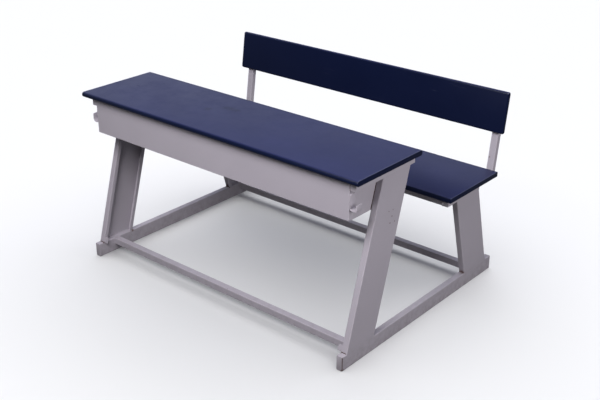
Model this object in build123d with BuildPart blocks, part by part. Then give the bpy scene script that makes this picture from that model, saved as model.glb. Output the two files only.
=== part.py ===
from build123d import *
import os
from math import atan2, cos, radians, tan

# Two-seat school desk with its bench on one welded steel frame.
# Frame: +X along the boards, +Y from the front panel to the backrest, +Z up.
# The origin is on the floor, under the middle of the whole unit.
# "left" is -X and "right" is +X, as seen by someone who faces the front panel.
# Distances named *_from_front are measured back from the front ends of the base rails.

# ---------------------------------------------------------------------- driving dimensions

# Boards
board_length = 1200
board_thickness = 18
desk_height = 620
desk_depth = 318
desk_edge_from_front = 20.5
desk_edge_flat = 1
desk_end_round = 1.5
seat_height = 396
seat_depth = 295
seat_edge_from_front = 517.5
seat_edge_flat = 11
seat_end_round = 1.5
backrest_height = 143.5
backrest_lean = 8.2
backrest_rise = 131.4
backrest_edge_flat = 4
backrest_end_round = 5

# Side frames
board_overhang = 23
side_width = 22
base_length = 854
base_height = 50
tube_wall = 1.6
tube_corner = 2.5
cap_thickness = 2
desk_rail_height = 30
desk_rail_length = 288
desk_rail_from_front = 47
seat_rail_height = 28
seat_rail_from_front = 543

# Legs: lipped channels that stand on the base rails with their mouths inwards
leg_web = 137
leg_sheet = 2
leg_lip = 14
leg_corner = 3
leg_flange_gap = 2.5
desk_leg_foot_from_front = 21
desk_leg_shift = 155
seat_leg_foot_from_front = 681.5
seat_leg_shift = -83
lug_width = 16
lug_height = 20
lug_thickness = 3
lug_round = 6

# Cross members
foot_bar_size = 24
front_bar_from_front = 70.5
rear_bar_from_front = 740.5
cross_rail_width = 22
seat_rear_rail_setback = 12

# Backrest uprights and the arms that carry them
upright_width = 25
upright_depth = 20
upright_gap = 1.7
upright_top_drop = 15

# Book box
box_drop = 125
box_sheet = 1.5
box_corner = 2.5
panel_return = 15
panel_setback = 24
shelf_lip = 16
shelf_side_gap = 1

# Bag hooks
hook_width = 25
hook_sheet = 2.5
hook_reach = 26
left_hook_bend = 11
left_hook_tip_height = 30
right_hook_bend = 6
right_hook_tip_height = 22
hook_back_height = 50
hook_drop = 92
hook_setback = 2

# Screws
screw_diameter = 4.5
screw_head_diameter = 9
screw_head_height = 3
screw_bite = 12
screw_clearance = 0.2
screw_spacing = 400
screw_count = 3
rail_screw_front_inset = 48
rail_screw_rear_inset = 12
backrest_screw_spacing = 70

# ---------------------------------------------------------------------- derived positions

outer_x = board_length / 2 - board_overhang
inner_x = outer_x - side_width
rail_x = outer_x - side_width / 2
upright_x = outer_x - upright_width / 2
arm_inner_x = outer_x - upright_width

lean_slope = tan(radians(backrest_lean))
lean_cosine = cos(radians(backrest_lean))
upright_run = upright_depth / lean_cosine

desk_underside = desk_height - board_thickness
desk_rail_bottom = desk_underside - desk_rail_height
seat_underside = seat_height - board_thickness
seat_rail_bottom = seat_underside - seat_rail_height
arm_bottom = seat_underside - upright_depth
backrest_bottom = seat_height + backrest_rise
backrest_top = backrest_bottom + backrest_height * lean_cosine
upright_top = backrest_top - upright_top_drop
box_bottom = desk_underside - box_drop

seat_back_from_front = seat_edge_from_front + seat_depth
upright_foot_from_front = seat_back_from_front + upright_gap
upright_reach = upright_foot_from_front + (upright_top - seat_underside) * lean_slope + upright_run
front = -max(base_length, upright_reach) / 2

desk_front_y = front + desk_edge_from_front
desk_rail_front_y = front + desk_rail_from_front
desk_rail_back_y = desk_rail_front_y + desk_rail_length
desk_rear_rail_y = desk_rail_back_y - cross_rail_width
panel_y = desk_front_y + panel_setback
plate_front_y = panel_y + panel_return
seat_front_y = front + seat_edge_from_front
seat_back_y = front + seat_back_from_front
seat_rail_front_y = front + seat_rail_from_front
seat_rail_back_y = front + seat_leg_foot_from_front + seat_leg_shift + leg_web
upright_foot_y = front + upright_foot_from_front
arm_back_y = upright_foot_y + upright_run
seat_rear_rail_y = seat_back_y - seat_rear_rail_setback - upright_depth
backrest_y = upright_foot_y + (backrest_bottom - seat_underside) * lean_slope - board_thickness / lean_cosine

screw_radius = screw_diameter / 2
screw_hole_radius = screw_radius + screw_clearance
sides = (("left", -1), ("right", 1))

# The backrest's front face, with local Z to the front and local Y up its slope
backrest_plane = Plane(
    origin=(0, backrest_y, backrest_bottom),
    x_dir=(1, 0, 0),
    z_dir=(0, -1, lean_slope),
)


def across(x, y, z):
    """Section plane of a member that runs along +X from x."""
    return Plane(origin=(x, y, z), x_dir=(0, 1, 0), z_dir=(1, 0, 0))


def lengthwise(x, y, z):
    """Section plane of a member that runs along +Y from y."""
    return Plane(origin=(x, y, z), x_dir=(1, 0, 0), z_dir=(0, 1, 0))


def tube_section(width, height):
    """Rectangular tube section, drawn in the sketch that is open."""
    RectangleRounded(width, height, tube_corner)
    RectangleRounded(
        width - 2 * tube_wall,
        height - 2 * tube_wall,
        tube_corner - tube_wall,
        mode=Mode.SUBTRACT,
    )


def cap_plate(plane, width, height, name):
    """Flat plate that closes a tube's end, drawn on plane and grown along its normal."""
    with BuildPart() as cap:
        with BuildSketch(plane):
            RectangleRounded(width, height, tube_corner)
        extrude(amount=cap_thickness)
    write(cap, name)


def drill_up(points, z, depth):
    """Screw holes that start at height z and go up into the part that is open."""
    with Locations([Plane(origin=(x, y, z), z_dir=(0, 0, -1)) for x, y in points]):
        Hole(screw_hole_radius, depth)


def screw_up(points, z, length):
    """Pan-head screws with their heads under height z, in the part that is open."""
    from_below = (Align.CENTER, Align.CENTER, Align.MIN)
    with Locations([(x, y, z - screw_head_height) for x, y in points]):
        Cylinder(screw_head_diameter / 2, screw_head_height, align=from_below)
    with Locations([(x, y, z) for x, y in points]):
        Cylinder(screw_radius, length, align=from_below)


def write(piece, name):
    """Label a finished piece and save it as its own STEP file."""
    piece.part.label = name
    export_step(piece.part, f"parts/{name}.step")


os.makedirs("parts", exist_ok=True)

# ---------------------------------------------------------------------- screw positions

row_x = [screw_spacing * (i - (screw_count - 1) / 2) for i in range(screw_count)]
panel_screws = [(x, panel_y + panel_return / 2 + box_sheet) for x in row_x]
desk_rear_screws = [(x, desk_rear_rail_y + cross_rail_width / 2) for x in row_x]
desk_side_screws = [
    (side * rail_x, y)
    for _, side in sides
    for y in (desk_rail_front_y + rail_screw_front_inset, desk_rail_back_y - rail_screw_rear_inset)
]
seat_front_screws = [(x, seat_rail_front_y + cross_rail_width / 2) for x in row_x]
seat_rear_screws = [(x, seat_rear_rail_y + upright_depth / 2) for x in row_x]

# ---------------------------------------------------------------------- boards


def round_board(board, flat, end_round):
    """Rounds a board's long edges, with this much flat left between them, and then its ends."""
    fillet(board.edges().filter_by(Axis.X), (board_thickness - flat) / 2)
    fillet(board.faces().filter_by(Axis.X).edges(), end_round)


with BuildPart() as desk_top_board:
    with BuildSketch(Plane.XY.offset(desk_underside)):
        with Locations((0, desk_front_y + desk_depth / 2)):
            Rectangle(board_length, desk_depth)
    extrude(amount=board_thickness)
    round_board(desk_top_board, desk_edge_flat, desk_end_round)
    drill_up(panel_screws + desk_rear_screws + desk_side_screws, desk_underside, screw_bite)
write(desk_top_board, "desk_top_board")

with BuildPart() as seat_board:
    with BuildSketch(Plane.XY.offset(seat_underside)):
        with Locations((0, seat_front_y + seat_depth / 2)):
            Rectangle(board_length, seat_depth)
    extrude(amount=board_thickness)
    round_board(seat_board, seat_edge_flat, seat_end_round)
    drill_up(seat_front_screws + seat_rear_screws, seat_underside, screw_bite)
write(seat_board, "seat_board")

backrest_screws_at = [
    (side * upright_x, backrest_height / 2 + step * backrest_screw_spacing / 2)
    for _, side in sides
    for step in (-1, 1)
]

with BuildPart() as backrest_board:
    with BuildSketch(backrest_plane):
        with Locations((0, backrest_height / 2)):
            Rectangle(board_length, backrest_height)
    extrude(amount=-board_thickness)
    round_board(backrest_board, backrest_edge_flat, backrest_end_round)
    with BuildSketch(backrest_plane.offset(-board_thickness)):
        with Locations(backrest_screws_at):
            Circle(screw_hole_radius)
    extrude(amount=screw_bite, mode=Mode.SUBTRACT)
write(backrest_board, "backrest_board")

# ---------------------------------------------------------------------- side frames


def channel_leg(side, foot_y, shift, bottom, top, name):
    """Lipped channel that leans by shift in Y between two heights, mouth inwards.

    Its web stands on the rail below, and its flanges stop short of it.
    """
    run = Vector(0, shift, top - bottom)
    lean = atan2(abs(shift), top - bottom)
    sheet_run = leg_sheet / cos(lean)
    lip_run = leg_lip / cos(lean)
    middle_y = foot_y + leg_web / 2
    with BuildPart() as leg:
        with BuildSketch(Plane.XY.offset(bottom)):
            with Locations((side * rail_x, middle_y)):
                RectangleRounded(side_width, leg_web, leg_corner)
                RectangleRounded(
                    side_width - 2 * leg_sheet,
                    leg_web - 2 * sheet_run,
                    leg_corner - leg_sheet,
                    mode=Mode.SUBTRACT,
                )
            with Locations((side * (inner_x + leg_corner / 2), middle_y)):
                Rectangle(leg_corner, leg_web - 2 * lip_run, mode=Mode.SUBTRACT)
        extrude(amount=run.length, dir=run.normalized())
        with BuildSketch(Plane.XY.offset(bottom)):
            with Locations((side * (rail_x - leg_sheet / 2), middle_y)):
                Rectangle(side_width - leg_sheet, 2 * leg_web)
        extrude(amount=leg_flange_gap, mode=Mode.SUBTRACT)
    write(leg, name)


def leg_lug(side, name):
    """Small rounded lug welded beside the foot of a desk leg, in line with its front flange."""
    run = Vector(0, desk_leg_shift, desk_rail_bottom - base_height).normalized()
    lug_x = side * (inner_x - lug_width / 2)
    lug_y = front + desk_leg_foot_from_front + leg_corner + lug_thickness / 2
    with BuildPart() as lug:
        with BuildSketch(Plane(origin=(lug_x, lug_y, base_height))):
            Rectangle(lug_width, lug_thickness)
        extrude(amount=lug_height, dir=run)
        top_edges = lug.edges().filter_by(Axis.Y).group_by(Axis.Z)[-1].sort_by(Axis.X)
        fillet(top_edges[0 if side > 0 else -1], lug_round)
    write(lug, name)


for side_name, side in sides:
    base_plane = lengthwise(side * rail_x, front + cap_thickness, base_height / 2)
    with BuildPart() as base_rail:
        with BuildSketch(base_plane):
            tube_section(side_width, base_height)
        extrude(amount=base_length - 2 * cap_thickness)
    write(base_rail, f"{side_name}_base_rail")
    cap_plate(
        base_plane.offset(-cap_thickness), side_width, base_height, f"{side_name}_base_front_cap"
    )
    cap_plate(
        base_plane.offset(base_length - 2 * cap_thickness),
        side_width,
        base_height,
        f"{side_name}_base_rear_cap",
    )

    channel_leg(
        side,
        front + desk_leg_foot_from_front,
        desk_leg_shift,
        base_height,
        desk_rail_bottom,
        f"{side_name}_desk_leg",
    )
    leg_lug(side, f"{side_name}_leg_lug")
    channel_leg(
        side,
        front + seat_leg_foot_from_front,
        seat_leg_shift,
        base_height,
        seat_rail_bottom,
        f"{side_name}_seat_leg",
    )

    desk_plane = lengthwise(
        side * rail_x, desk_rail_front_y + cap_thickness, desk_rail_bottom + desk_rail_height / 2
    )
    with BuildPart() as desk_side_rail:
        with BuildSketch(desk_plane):
            tube_section(side_width, desk_rail_height)
        extrude(amount=desk_rail_length - 2 * cap_thickness)
        drill_up(
            [point for point in desk_side_screws if point[0] * side > 0],
            desk_rail_bottom,
            desk_rail_height,
        )
    write(desk_side_rail, f"{side_name}_desk_side_rail")
    cap_plate(
        desk_plane.offset(-cap_thickness),
        side_width,
        desk_rail_height,
        f"{side_name}_desk_rail_front_cap",
    )
    cap_plate(
        desk_plane.offset(desk_rail_length - 2 * cap_thickness),
        side_width,
        desk_rail_height,
        f"{side_name}_desk_rail_rear_cap",
    )

    seat_plane = lengthwise(
        side * rail_x, seat_rail_front_y + cap_thickness, seat_rail_bottom + seat_rail_height / 2
    )
    with BuildPart() as seat_side_rail:
        with BuildSketch(seat_plane):
            tube_section(side_width, seat_rail_height)
        extrude(amount=seat_rail_back_y - seat_rail_front_y - cap_thickness)
    write(seat_side_rail, f"{side_name}_seat_side_rail")
    cap_plate(
        seat_plane.offset(-cap_thickness), side_width, seat_rail_height, f"{side_name}_seat_rail_cap"
    )

    arm_length = arm_back_y - seat_rail_back_y - cap_thickness
    arm_plane = lengthwise(side * upright_x, seat_rail_back_y, arm_bottom + upright_depth / 2)
    with BuildPart() as seat_arm:
        with BuildSketch(arm_plane):
            tube_section(upright_width, upright_depth)
        extrude(amount=arm_length)
    write(seat_arm, f"{side_name}_seat_arm")
    cap_plate(
        arm_plane.offset(arm_length), upright_width, upright_depth, f"{side_name}_seat_arm_cap"
    )

    upright_height = upright_top - seat_underside
    upright_way = Vector(0, lean_slope, 1)
    upright_foot = Plane(origin=(side * upright_x, upright_foot_y + upright_run / 2, seat_underside))
    with BuildPart() as backrest_upright:
        with BuildSketch(upright_foot):
            tube_section(upright_width, upright_run)
        extrude(amount=(upright_height - cap_thickness) / lean_cosine, dir=upright_way.normalized())
        with BuildSketch(backrest_plane.offset(-board_thickness)):
            with Locations([point for point in backrest_screws_at if point[0] * side > 0]):
                Circle(screw_hole_radius)
        extrude(amount=-upright_depth, mode=Mode.SUBTRACT)
    write(backrest_upright, f"{side_name}_backrest_upright")
    cap_y = upright_foot_y + upright_run / 2 + (upright_height - cap_thickness) * lean_slope
    with BuildPart() as upright_cap:
        with BuildSketch(Plane(origin=(side * upright_x, cap_y, upright_top - cap_thickness))):
            RectangleRounded(upright_width, upright_run, tube_corner)
        extrude(amount=cap_thickness / lean_cosine, dir=upright_way.normalized())
    write(upright_cap, f"{side_name}_upright_cap")

# ---------------------------------------------------------------------- cross members

for bar_name, bar_from_front in (
    ("front_foot_bar", front_bar_from_front),
    ("rear_foot_bar", rear_bar_from_front),
):
    bar_y = front + bar_from_front + foot_bar_size / 2
    with BuildPart() as foot_bar:
        with BuildSketch(across(-inner_x, bar_y, base_height - foot_bar_size / 2)):
            tube_section(foot_bar_size, foot_bar_size)
        extrude(amount=2 * inner_x)
    write(foot_bar, bar_name)

desk_rear_plane = across(
    -inner_x, desk_rear_rail_y + cross_rail_width / 2, desk_rail_bottom + desk_rail_height / 2
)
with BuildPart() as desk_rear_rail:
    with BuildSketch(desk_rear_plane):
        tube_section(cross_rail_width, desk_rail_height)
    extrude(amount=2 * inner_x)
    drill_up(desk_rear_screws, desk_rail_bottom, desk_rail_height)
write(desk_rear_rail, "desk_rear_rail")

seat_front_plane = across(
    -inner_x, seat_rail_front_y + cross_rail_width / 2, seat_rail_bottom + seat_rail_height / 2
)
with BuildPart() as seat_front_rail:
    with BuildSketch(seat_front_plane):
        tube_section(cross_rail_width, seat_rail_height)
    extrude(amount=2 * inner_x)
    drill_up(seat_front_screws, seat_rail_bottom, seat_rail_height)
write(seat_front_rail, "seat_front_rail")

seat_rear_plane = across(
    -arm_inner_x, seat_rear_rail_y + upright_depth / 2, arm_bottom + upright_depth / 2
)
with BuildPart() as seat_rear_rail:
    with BuildSketch(seat_rear_plane):
        tube_section(upright_depth, upright_depth)
    extrude(amount=2 * arm_inner_x)
    drill_up(seat_rear_screws, arm_bottom, upright_depth)
write(seat_rear_rail, "seat_rear_rail")

# ---------------------------------------------------------------------- book box

# A shallow pan of sheet with its four edges folded back
with BuildPart() as box_front_panel:
    with BuildSketch(Plane.XZ.offset(-panel_y)):
        with Locations((0, box_bottom + box_drop / 2)):
            RectangleRounded(2 * inner_x, box_drop, box_corner)
    extrude(amount=-panel_return)
    front_face = box_front_panel.faces().sort_by(Axis.Y)[0]
    fillet(front_face.edges(), box_corner - box_sheet / 2)
    back_face = box_front_panel.faces().sort_by(Axis.Y)[-1]
    offset(amount=-box_sheet, openings=back_face)
    drill_up(panel_screws, desk_underside - box_sheet, box_sheet)
write(box_front_panel, "box_front_panel")

shelf_half_length = inner_x - box_sheet - shelf_side_gap
shelf_front_y = panel_y + box_sheet
shelf_bottom = box_bottom + box_sheet

# Bottom of the box, with a lip turned up at the open side to keep books in
with BuildPart() as book_shelf:
    with BuildSketch(across(-shelf_half_length, 0, 0)):
        with BuildLine():
            Polyline(
                (shelf_front_y + box_corner, shelf_bottom),
                (desk_rear_rail_y, shelf_bottom),
                (desk_rear_rail_y, shelf_bottom + shelf_lip),
                (desk_rear_rail_y - box_sheet, shelf_bottom + shelf_lip),
                (desk_rear_rail_y - box_sheet, shelf_bottom + box_sheet),
                (shelf_front_y + box_corner, shelf_bottom + box_sheet),
                close=True,
            )
        make_face()
    extrude(amount=2 * shelf_half_length)
write(book_shelf, "book_shelf")

hook_z = desk_underside - hook_drop
hook_front_y = panel_y + hook_setback
hook_outer_x = inner_x + hook_reach
hook_shapes = {
    "left": (left_hook_bend, left_hook_tip_height),
    "right": (right_hook_bend, right_hook_tip_height),
}

for side_name, side in sides:
    plate_plane = across(side * inner_x, 0, 0)
    with BuildPart() as end_plate:
        with BuildSketch(plate_plane):
            with Locations((plate_front_y, box_bottom)):
                Rectangle(
                    desk_rear_rail_y - plate_front_y, box_drop, align=(Align.MIN, Align.MIN)
                )
        extrude(amount=-side * box_sheet)
    write(end_plate, f"{side_name}_box_end_plate")

    # J-shaped strip: back leg on the box, rounded pocket, short upright tip
    hook_bend, hook_tip_height = hook_shapes[side_name]
    with BuildPart() as bag_hook:
        with BuildSketch(Plane.XZ.offset(-hook_front_y)):
            with BuildLine():
                FilletPolyline(
                    (side * (inner_x + hook_sheet / 2), hook_z + hook_back_height),
                    (side * (inner_x + hook_sheet / 2), hook_z + hook_sheet / 2),
                    (side * (hook_outer_x - hook_sheet / 2), hook_z + hook_sheet / 2),
                    (side * (hook_outer_x - hook_sheet / 2), hook_z + hook_tip_height),
                    radius=hook_bend,
                )
            trace(line_width=hook_sheet)
        extrude(amount=-hook_width)
    write(bag_hook, f"{side_name}_bag_hook")

# ---------------------------------------------------------------------- screws

with BuildPart() as desk_top_screws:
    screw_up(panel_screws, desk_underside - box_sheet, box_sheet + screw_bite)
    screw_up(desk_rear_screws + desk_side_screws, desk_rail_bottom, desk_rail_height + screw_bite)
write(desk_top_screws, "desk_top_screws")

with BuildPart() as seat_screws:
    screw_up(seat_front_screws, seat_rail_bottom, seat_rail_height + screw_bite)
    screw_up(seat_rear_screws, arm_bottom, upright_depth + screw_bite)
write(seat_screws, "seat_screws")

screw_seat = backrest_plane.offset(-board_thickness - upright_depth)
with BuildPart() as backrest_screws:
    with BuildSketch(screw_seat):
        with Locations(backrest_screws_at):
            Circle(screw_head_diameter / 2)
    extrude(amount=-screw_head_height)
    with BuildSketch(screw_seat):
        with Locations(backrest_screws_at):
            Circle(screw_radius)
    extrude(amount=upright_depth + screw_bite)
write(backrest_screws, "backrest_screws")
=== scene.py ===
from math import cos, pi, radians, sin

import bmesh
import bpy
from bpy.props import FloatProperty, FloatVectorProperty, PointerProperty
from mathutils import Matrix, Vector


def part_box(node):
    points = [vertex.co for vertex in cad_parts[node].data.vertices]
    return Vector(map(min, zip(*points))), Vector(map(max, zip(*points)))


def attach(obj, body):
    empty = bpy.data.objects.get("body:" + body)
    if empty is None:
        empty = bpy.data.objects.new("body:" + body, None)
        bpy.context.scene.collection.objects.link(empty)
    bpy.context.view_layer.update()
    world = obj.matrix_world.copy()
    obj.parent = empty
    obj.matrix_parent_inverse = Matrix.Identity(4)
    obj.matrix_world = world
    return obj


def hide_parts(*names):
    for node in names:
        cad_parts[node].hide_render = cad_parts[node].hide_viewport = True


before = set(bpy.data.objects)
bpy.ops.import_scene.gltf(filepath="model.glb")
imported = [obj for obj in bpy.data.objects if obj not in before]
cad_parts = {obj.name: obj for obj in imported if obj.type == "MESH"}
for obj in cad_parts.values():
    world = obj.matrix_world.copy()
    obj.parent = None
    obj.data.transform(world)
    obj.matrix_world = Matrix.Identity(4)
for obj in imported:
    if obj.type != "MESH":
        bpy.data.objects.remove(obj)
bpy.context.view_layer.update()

bl_info = {
    "name": "School desk with bench",
    "version": (1, 0, 0),
    "blender": (4, 5, 0),
    "location": "3D View > Sidebar > School Desk",
    "description": "Finishes a two-seat school desk: lacquered boards, painted steel, welds and screws",
    "category": "Add Mesh",
}

BODY = "root"
SIDES = (("left", -1), ("right", 1))
X, Y, Z = Vector((1, 0, 0)), Vector((0, 1, 0)), Vector((0, 0, 1))

# Points closer than this are one point, in metres
MERGE = 1e-6
# Faces that meet at more than this angle keep a sharp edge
SHARP_ANGLE = radians(32)

# Name, place and diameter in metres, power in watts, and whether the boards mirror it
SOFTBOXES = (
    ("softbox_front", (0.55, -1.95, 2.43), 1.5, 80.0, True),
    ("softbox_overhead", (0.0, 0.0, 2.8), 2.0, 9.0, True),
    ("softbox_front_low", (0.2, -2.6, 1.0), 1.5, 3.0, True),
    ("softbox_back", (-1.0, 2.8, 1.4), 1.5, 30.0, False),
    ("softbox_left", (-2.9, 0.3, 0.9), 1.5, 24.0, False),
    ("softbox_right", (2.9, -0.3, 1.4), 1.5, 41.0, False),
)
SOFTBOX_AIM = (0.0, 0.0, 0.35)
# The wall behind is dark below the first cosine of the angle to it, and bright above the second
WALL_SIDES = (-0.2, 0.5)
# Angles above the horizon between which the wall fades out
WALL_TOP = (radians(38), radians(50))

# Sides of a weld bead, the width of its ends as a share, and the length of its taper in radii
BEAD_SIDES = 8
BEAD_END = 0.55
BEAD_TAPER = 1.5
# Share of a bead's width that its ripples and its slow waves add or take away
BEAD_RIPPLE = 0.10
BEAD_WAVE = 0.08
# Radians that the waves turn in a metre along the bead, and how they differ from bead to bead
WAVE_RATE = 310.0
WAVE_SHIFT = Vector((900.0, 0.0, 700.0))
# Where tack welds start, as shares of the joint
PLATE_TACKS = (0.12, 0.5, 0.88)
SHELF_TACKS = (0.25, 0.75)

# Radius of the rust at a leg's two foot corners, at a rail's end and at a small spot, in metres
FRONT_FOOT_RUST = 0.007
BACK_FOOT_RUST = 0.012
RAIL_END_RUST = 0.013
SPOT_RUST = 0.0045
# Radius of the rust before a seat leg's foot, and its height above the rail, in metres
SEAT_FOOT_RUST = 0.017
SEAT_FOOT_RISE = 0.003

# Small spots of rust on the right desk leg and the right upright, in metres
RUST_SPOTS = (
    (0.558, 0.386, 0.436),
    (0.577, -0.2269, 0.4561),
    (0.577, -0.2104, 0.4354),
    (0.577, -0.1961, 0.4136),
    (0.577, -0.2192, 0.4155),
    (0.577, -0.2066, 0.4554),
)

# Dull rubbed patches on the desk top: X, Y and radius in metres
DESK_SCUFFS = (
    (-0.1006, -0.2094, 0.028),
    (-0.0822, -0.2086, 0.032),
    (-0.0602, -0.2081, 0.028),
    (-0.1407, -0.2573, 0.026),
    (-0.1263, -0.1034, 0.020),
    (-0.0983, -0.1044, 0.020),
)


# ---------------------------------------------------------------------- sizes and colours


def length(name, description, default):
    """A length property, in metres."""
    return FloatProperty(name=name, description=description, default=default, min=0.0, unit="LENGTH")


def colour(name, description, default):
    """A linear colour property."""
    return FloatVectorProperty(
        name=name, description=description, default=default, size=3, min=0.0, max=1.0, subtype="COLOR"
    )


def share(name, description, default):
    """A property between 0 and 1."""
    return FloatProperty(
        name=name, description=description, default=default, min=0.0, max=1.0, subtype="FACTOR"
    )


class BoardSettings(bpy.types.PropertyGroup):
    """Shape and lacquer of the three boards."""

    thickness: length("Thickness", "Thickness of every board", 0.018)
    desk_flat: length("Desk edge", "Flat left between the desk top's edge roundings", 0.001)
    desk_end: length("Desk end", "Rounding of the desk top's ends", 0.0015)
    seat_flat: length("Seat edge", "Flat left between the seat's edge roundings", 0.011)
    seat_end: length("Seat end", "Rounding of the seat's ends", 0.0015)
    back_flat: length("Backrest edge", "Flat left between the backrest's edge roundings", 0.004)
    back_end: length("Backrest end", "Rounding of the backrest's ends", 0.005)
    lean: FloatProperty(
        name="Backrest lean", description="Backward lean", default=radians(8.2), subtype="ANGLE"
    )
    lacquer: colour("Lacquer", "Navy lacquer", (0.0032, 0.0062, 0.028))
    # Painted sheen: a lighter navy laid on what faces up, standing in for reflections on the tops, partly
    # fine wear and dust
    top_sheen_and_dust: colour("Film", "Haze of fine wear and dust on what faces up", (0.040, 0.046, 0.148))
    worn: colour("Worn lacquer", "Scratched lacquer", (0.045, 0.052, 0.10))
    # Painted highlight: the rim colour lightens the rounding between each board's top and its ends
    rim: colour("Rubbed edge", "Lacquer rubbed thin on the boards' top end edges", (0.16, 0.17, 0.25))
    wood: colour("Wood", "Board core, where the lacquer has chipped off", (0.17, 0.10, 0.055))
    gloss: share("Roughness", "Roughness of clean lacquer", 0.33)
    sheen: share("Sheen", "Strength of the lacquer's reflections", 0.2)


class SteelSettings(bpy.types.PropertyGroup):
    """Paint, rust and welds of the steel frame."""

    paint: colour("Paint", "Light grey paint", (0.42, 0.385, 0.44))
    grime: colour("Grime", "Dirt that gathers low down and in corners", (0.12, 0.10, 0.10))
    # Painted shadow: a brown-tinted darkening laid on the steel just under the desk top, where the board's
    # shadow falls
    under_top_shade: colour("Stain", "Brown stain on the steel just under the desk top", (0.13, 0.09, 0.07))
    rust: colour("Rust", "Rust where the paint has failed", (0.085, 0.035, 0.015))
    zinc: colour("Zinc", "Zinc plating of the screws", (0.62, 0.62, 0.60))
    roughness: share("Roughness", "Roughness of clean paint", 0.42)
    sheen: share("Sheen", "Strength of the paint's reflections", 0.4)
    bead: length("Weld bead", "Radius of a weld bead", 0.0021)
    ripple: length("Weld ripple", "Distance between the ripples of a bead", 0.0018)
    # Painted shadow: the gap lines are dark rust-coloured beads laid in the shaded gaps at the front caps
    # and the legs
    gap_shadow: length("Dirt line", "Radius of the lines of rust and dirt in open joints", 0.0011)
    tack: length("Tack weld", "Length of a tack weld", 0.014)
    grind_proud: length("Ground weld height", "How far a ground weld stands proud", 0.00006)
    grind_round: length("Ground weld edge", "Rounding of a ground weld", 0.0004)
    sheet: length("Leg sheet", "Thickness of the legs' sheet", 0.002)
    leg_web: length("Leg web", "Width of the legs, seen from the side", 0.137)
    tube_corner: length("Tube corner", "Outer corner radius of the tubes", 0.0025)
    plate_edge: length("Plate edge", "Rounding of the cap plates' edges", 0.0006)
    seam: length("Seam", "Width of the bare seam beside a front cap", 0.0024)
    hook_sheet: length("Hook strip", "Thickness of the bag hooks' strip", 0.0025)
    left_hook_bend: length("Left hook bend", "Middle radius of the left hook's bends", 0.011)
    right_hook_bend: length("Right hook bend", "Middle radius of the right hook's bends", 0.006)
    left_hook_tip: length("Left hook tip", "Height of the left bag hook's tip", 0.030)
    right_hook_tip: length("Right hook tip", "Height of the right bag hook's tip", 0.022)
    hook_corner: length("Hook corner", "Corner radius at the hooks' ends", 0.003)
    hook_ease: length("Hook edge", "Rounding of the strip's long edges", 0.0004)
    screw_head: length("Screw head", "Diameter of the screw heads", 0.009)
    screw_head_height: length("Screw head height", "Height of the screw heads", 0.003)


class StageSettings(bpy.types.PropertyGroup):
    """Floor, light and camera."""

    floor_size: length("Floor size", "Side of the square floor", 60.0)
    floor_colour: colour("Floor", "Pale floor", (0.86, 0.86, 0.87))
    floor_light: FloatProperty(name="Floor light", description="Sun strength on the floor", default=3.3)
    floor_light_angle: FloatProperty(
        name="Floor light size", description="Angle that the sun on the floor fills",
        default=radians(110), subtype="ANGLE",
    )
    wall_light: FloatProperty(name="Wall", description="Brightness of the wall behind", default=0.70)
    wall_colour: colour("Wall colour", "Cool daylight on the wall behind", (0.72, 0.77, 1.0))
    low_light: FloatProperty(name="Low light", description="Light that comes up from below", default=0.12)
    backdrop: FloatProperty(name="Backdrop", description="Brightness that the camera sees", default=0.9)
    camera_place: FloatVectorProperty(
        name="Camera", description="Where the camera stands", default=(2.05125, -2.35633, 1.67469),
        size=3, subtype="TRANSLATION",
    )
    camera_drop: FloatProperty(
        name="Camera drop", description="Angle below the horizon", default=radians(24.63),
        subtype="ANGLE",
    )
    camera_turn: FloatProperty(
        name="Camera turn", description="Turn about the vertical", default=radians(40.51),
        subtype="ANGLE",
    )
    camera_lens: FloatProperty(name="Lens", description="Focal length, in millimetres", default=58.008)
    camera_sensor: FloatProperty(name="Sensor", description="Sensor width, in millimetres", default=36.0)


# ---------------------------------------------------------------------- shader nodes


def add(tree, kind, settings=None, inputs=None):
    """Adds a node. An input that is given as a socket is linked, and any other is set."""
    made = tree.nodes.new(kind)
    for name, value in (settings or {}).items():
        setattr(made, name, value)
    for name, value in (inputs or {}).items():
        if isinstance(value, bpy.types.NodeSocket):
            tree.links.new(value, made.inputs[name])
        else:
            made.inputs[name].default_value = value
    return made


def maths(tree, operation, *values, clamp=False):
    """A Math node's result."""
    settings = {"operation": operation, "use_clamp": clamp}
    return add(tree, "ShaderNodeMath", settings, dict(enumerate(values))).outputs[0]


def ramp(tree, value, low, high, to_low=0.0, to_high=1.0):
    """Maps a value from one range to another, clamped and eased."""
    inputs = {"Value": value, "From Min": low, "From Max": high, "To Min": to_low, "To Max": to_high}
    made = add(tree, "ShaderNodeMapRange", {"interpolation_type": "SMOOTHSTEP"}, inputs)
    return made.outputs["Result"]


def fall(tree, value, low, high):
    """Falls from 1 to 0 as a value passes through a range."""
    return ramp(tree, value, low, high, 1.0, 0.0)


def product(tree, *values):
    """Values multiplied together."""
    total = values[0]
    for value in values[1:]:
        total = maths(tree, "MULTIPLY", total, value)
    return total


def mix_colour(tree, factor, first, second):
    """First colour, going to the second as the factor rises."""
    made = add(tree, "ShaderNodeMix", {"data_type": "RGBA"})
    for socket, value in ((made.inputs[0], factor), (made.inputs[6], first), (made.inputs[7], second)):
        if isinstance(value, bpy.types.NodeSocket):
            tree.links.new(value, socket)
        elif socket.type == "RGBA":
            socket.default_value = (*value, 1.0)
        else:
            socket.default_value = value
    return made.outputs[2]


def noise(tree, vector, scale, detail=3.0, roughness=0.55):
    """Fractal noise between 0 and 1."""
    inputs = {"Vector": vector, "Scale": scale, "Detail": detail, "Roughness": roughness}
    return add(tree, "ShaderNodeTexNoise", None, inputs).outputs["Fac"]


def stretched(tree, vector, scale, turn=(0.0, 0.0, 0.0)):
    """Coordinates scaled differently along each axis."""
    inputs = {"Vector": vector, "Scale": scale, "Rotation": turn}
    return add(tree, "ShaderNodeMapping", None, inputs).outputs["Vector"]


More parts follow.
